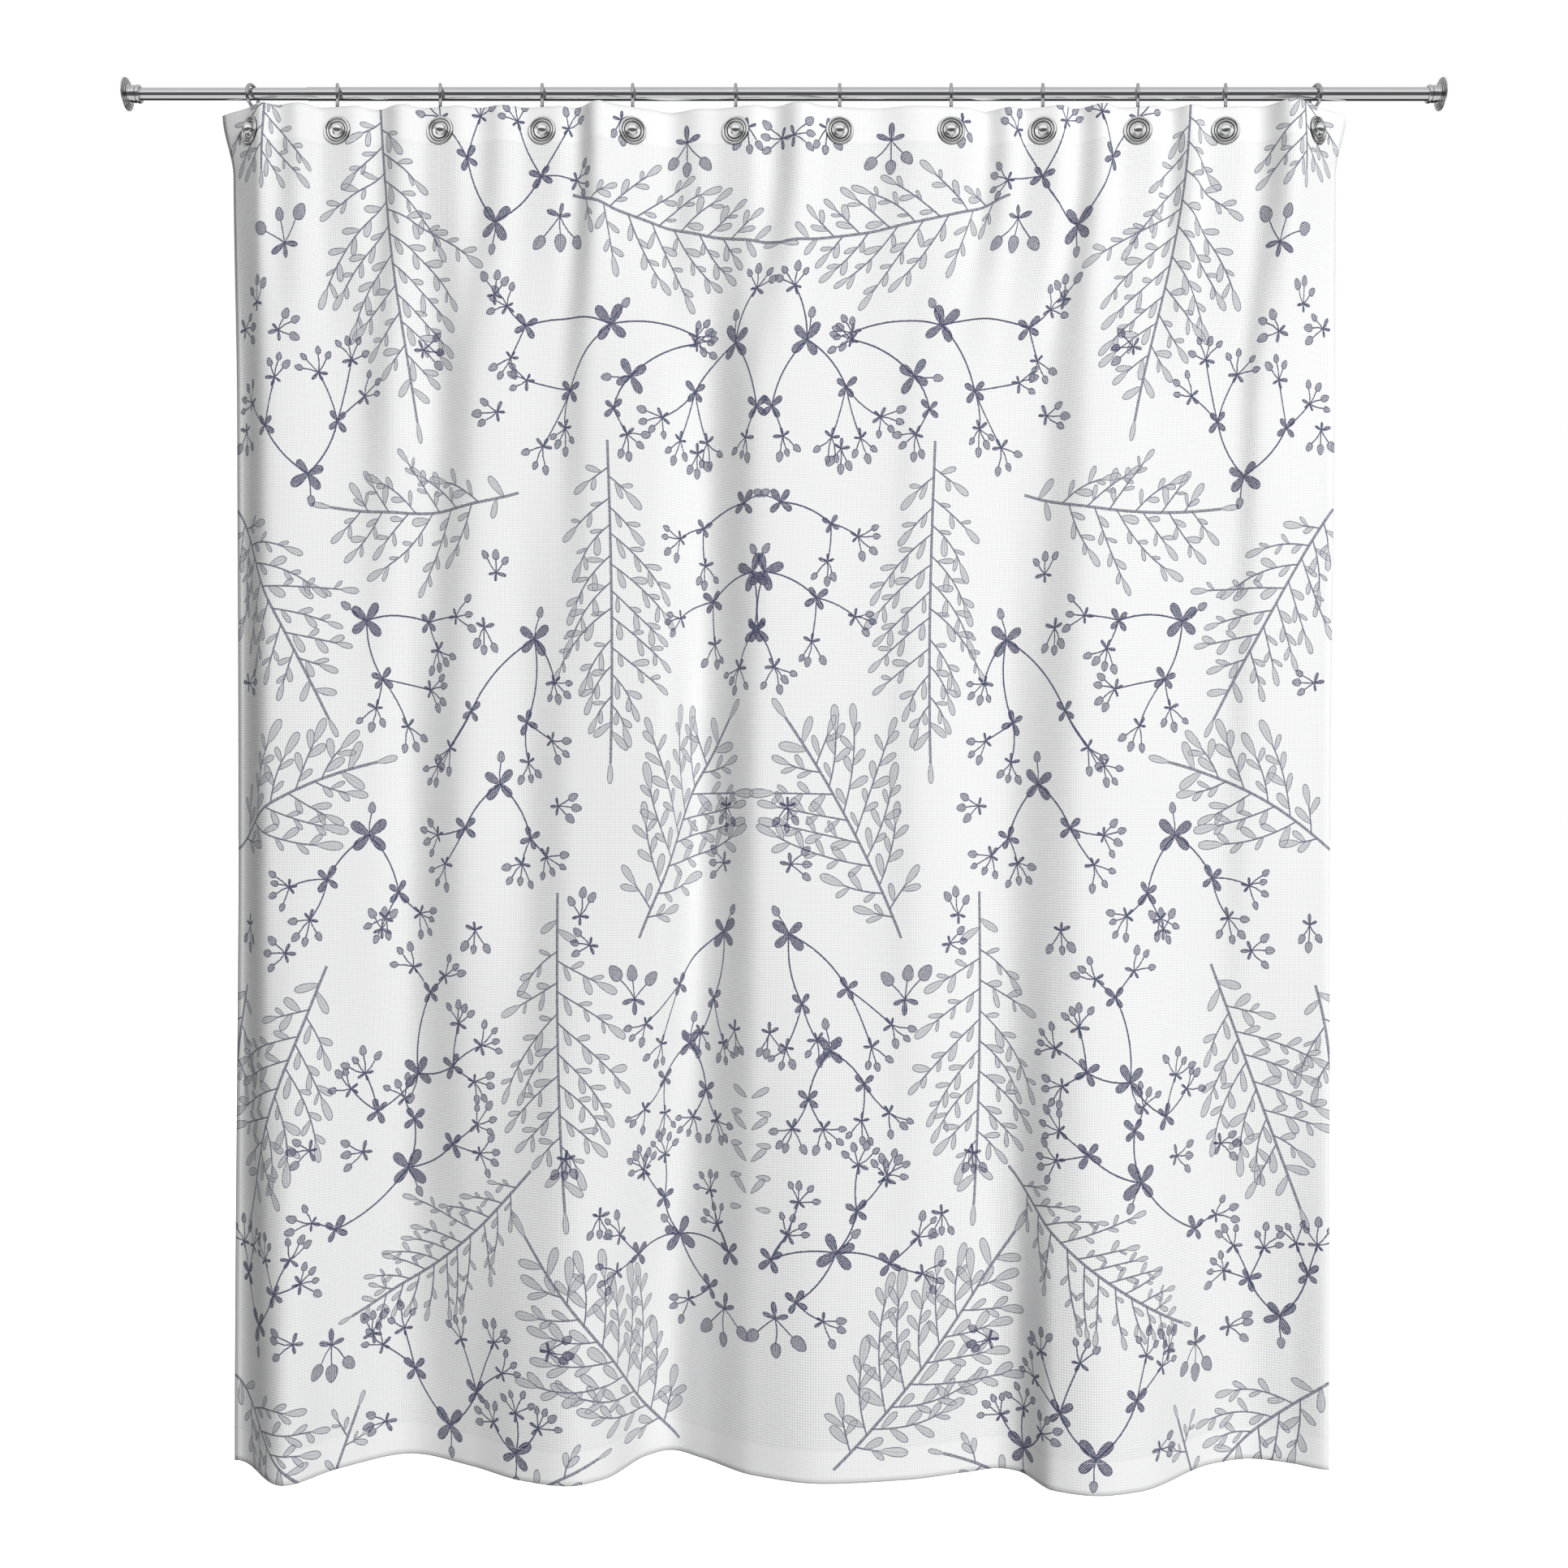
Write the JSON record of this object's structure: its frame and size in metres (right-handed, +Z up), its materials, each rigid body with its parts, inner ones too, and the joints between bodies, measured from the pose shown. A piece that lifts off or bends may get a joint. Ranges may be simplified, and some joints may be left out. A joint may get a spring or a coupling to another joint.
{
  "type": "shower curtain",
  "caption": "Printed fabric shower curtain hanging by ring hooks and metal grommets from a telescoping chrome rod with stepped wall flanges.",
  "frame": {"origin": "centre of the left wall pad's outer face, on the rod's axis", "axes": "+X along the rod to the right wall, +Z up, and the printed face of the cloth looks along -Y"},
  "size_m": [1.81, 0.1501, 1.9217],
  "materials": {
    "rod_chrome": "polished",
    "flange_chrome": "polished",
    "hook_chrome": "polished",
    "grommet_chrome": "polished",
    "pad_rubber": "matte",
    "lock_nylon": "satin",
    "curtain_cloth": "matte"
  },
  "bodies": {
    "narrow_half": {"narrow_tube": "rod_chrome", "twist_lock_plug": "lock_nylon", "left_flange": "flange_chrome", "left_collar": "flange_chrome", "left_wall_pad": "pad_rubber"},
    "wide_half": {"wide_tube": "rod_chrome", "right_flange": "flange_chrome", "right_collar": "flange_chrome", "right_wall_pad": "pad_rubber"},
    "curtain": {"curtain_panel": "curtain_cloth", "hook_wire_01": "hook_chrome", "hook_finial_01": "hook_chrome", "grommet_front_01": "grommet_chrome", "grommet_back_01": "grommet_chrome"},
    "hook_02": {"hook_wire_02": "hook_chrome", "hook_finial_02": "hook_chrome", "grommet_front_02": "grommet_chrome", "grommet_back_02": "grommet_chrome"},
    "hook_03": {"hook_wire_03": "hook_chrome", "hook_finial_03": "hook_chrome", "grommet_front_03": "grommet_chrome", "grommet_back_03": "grommet_chrome"},
    "hook_04": {"hook_wire_04": "hook_chrome", "hook_finial_04": "hook_chrome", "grommet_front_04": "grommet_chrome", "grommet_back_04": "grommet_chrome"},
    "hook_05": {"hook_wire_05": "hook_chrome", "hook_finial_05": "hook_chrome", "grommet_front_05": "grommet_chrome", "grommet_back_05": "grommet_chrome"},
    "hook_06": {"hook_wire_06": "hook_chrome", "hook_finial_06": "hook_chrome", "grommet_front_06": "grommet_chrome", "grommet_back_06": "grommet_chrome"},
    "hook_07": {"hook_wire_07": "hook_chrome", "hook_finial_07": "hook_chrome", "grommet_front_07": "grommet_chrome", "grommet_back_07": "grommet_chrome"},
    "hook_08": {"hook_wire_08": "hook_chrome", "hook_finial_08": "hook_chrome", "grommet_front_08": "grommet_chrome", "grommet_back_08": "grommet_chrome"},
    "hook_09": {"hook_wire_09": "hook_chrome", "hook_finial_09": "hook_chrome", "grommet_front_09": "grommet_chrome", "grommet_back_09": "grommet_chrome"},
    "hook_10": {"hook_wire_10": "hook_chrome", "hook_finial_10": "hook_chrome", "grommet_front_10": "grommet_chrome", "grommet_back_10": "grommet_chrome"},
    "hook_11": {"hook_wire_11": "hook_chrome", "hook_finial_11": "hook_chrome", "grommet_front_11": "grommet_chrome", "grommet_back_11": "grommet_chrome"},
    "hook_12": {"hook_wire_12": "hook_chrome", "hook_finial_12": "hook_chrome", "grommet_front_12": "grommet_chrome", "grommet_back_12": "grommet_chrome"}
  },
  "joints": [
    {"name": "rod_extend", "type": "slide", "parent": "narrow_half", "child": "wide_half", "axis": [1, 0, 0], "range_m": [-0.09, 0.15]},
    {"name": "curtain_swing", "type": "hinge", "parent": "narrow_half", "child": "curtain", "pos_m": [0, 0, 0], "axis": [1, 0, 0], "range_deg": [-15, 15]},
    {"name": "curtain_draw", "type": "slide", "parent": "curtain", "child": "hook_12", "axis": [1, 0, 0], "range_m": [-0.9, 0], "deforming": ["curtain_panel"]},
    {"name": "hook_slide_11", "type": "slide", "parent": "curtain", "child": "hook_11", "axis": [1, 0, 0], "range_m": [-0.8248, 0]},
    {"name": "hook_slide_10", "type": "slide", "parent": "curtain", "child": "hook_10", "axis": [1, 0, 0], "range_m": [-0.7506, 0]},
    {"name": "hook_slide_09", "type": "slide", "parent": "curtain", "child": "hook_09", "axis": [1, 0, 0], "range_m": [-0.6701, 0]},
    {"name": "hook_slide_08", "type": "slide", "parent": "curtain", "child": "hook_08", "axis": [1, 0, 0], "range_m": [-0.5925, 0]},
    {"name": "hook_slide_07", "type": "slide", "parent": "curtain", "child": "hook_07", "axis": [1, 0, 0], "range_m": [-0.4982, 0]},
    {"name": "hook_slide_06", "type": "slide", "parent": "curtain", "child": "hook_06", "axis": [1, 0, 0], "range_m": [-0.41, 0]},
    {"name": "hook_slide_05", "type": "slide", "parent": "curtain", "child": "hook_05", "axis": [1, 0, 0], "range_m": [-0.3229, 0]},
    {"name": "hook_slide_04", "type": "slide", "parent": "curtain", "child": "hook_04", "axis": [1, 0, 0], "range_m": [-0.2462, 0]},
    {"name": "hook_slide_03", "type": "slide", "parent": "curtain", "child": "hook_03", "axis": [1, 0, 0], "range_m": [-0.16, 0]},
    {"name": "hook_slide_02", "type": "slide", "parent": "curtain", "child": "hook_02", "axis": [1, 0, 0], "range_m": [-0.0728, 0]}
  ],
  "couplings": [
    {"joint": "hook_slide_11", "follows": "curtain_draw", "ratio": 0.91538},
    {"joint": "hook_slide_10", "follows": "curtain_draw", "ratio": 0.83289},
    {"joint": "hook_slide_09", "follows": "curtain_draw", "ratio": 0.74348},
    {"joint": "hook_slide_08", "follows": "curtain_draw", "ratio": 0.65727},
    {"joint": "hook_slide_07", "follows": "curtain_draw", "ratio": 0.55242},
    {"joint": "hook_slide_06", "follows": "curtain_draw", "ratio": 0.4545},
    {"joint": "hook_slide_05", "follows": "curtain_draw", "ratio": 0.35764},
    {"joint": "hook_slide_04", "follows": "curtain_draw", "ratio": 0.27249},
    {"joint": "hook_slide_03", "follows": "curtain_draw", "ratio": 0.17669},
    {"joint": "hook_slide_02", "follows": "curtain_draw", "ratio": 0.07983}
  ]
}
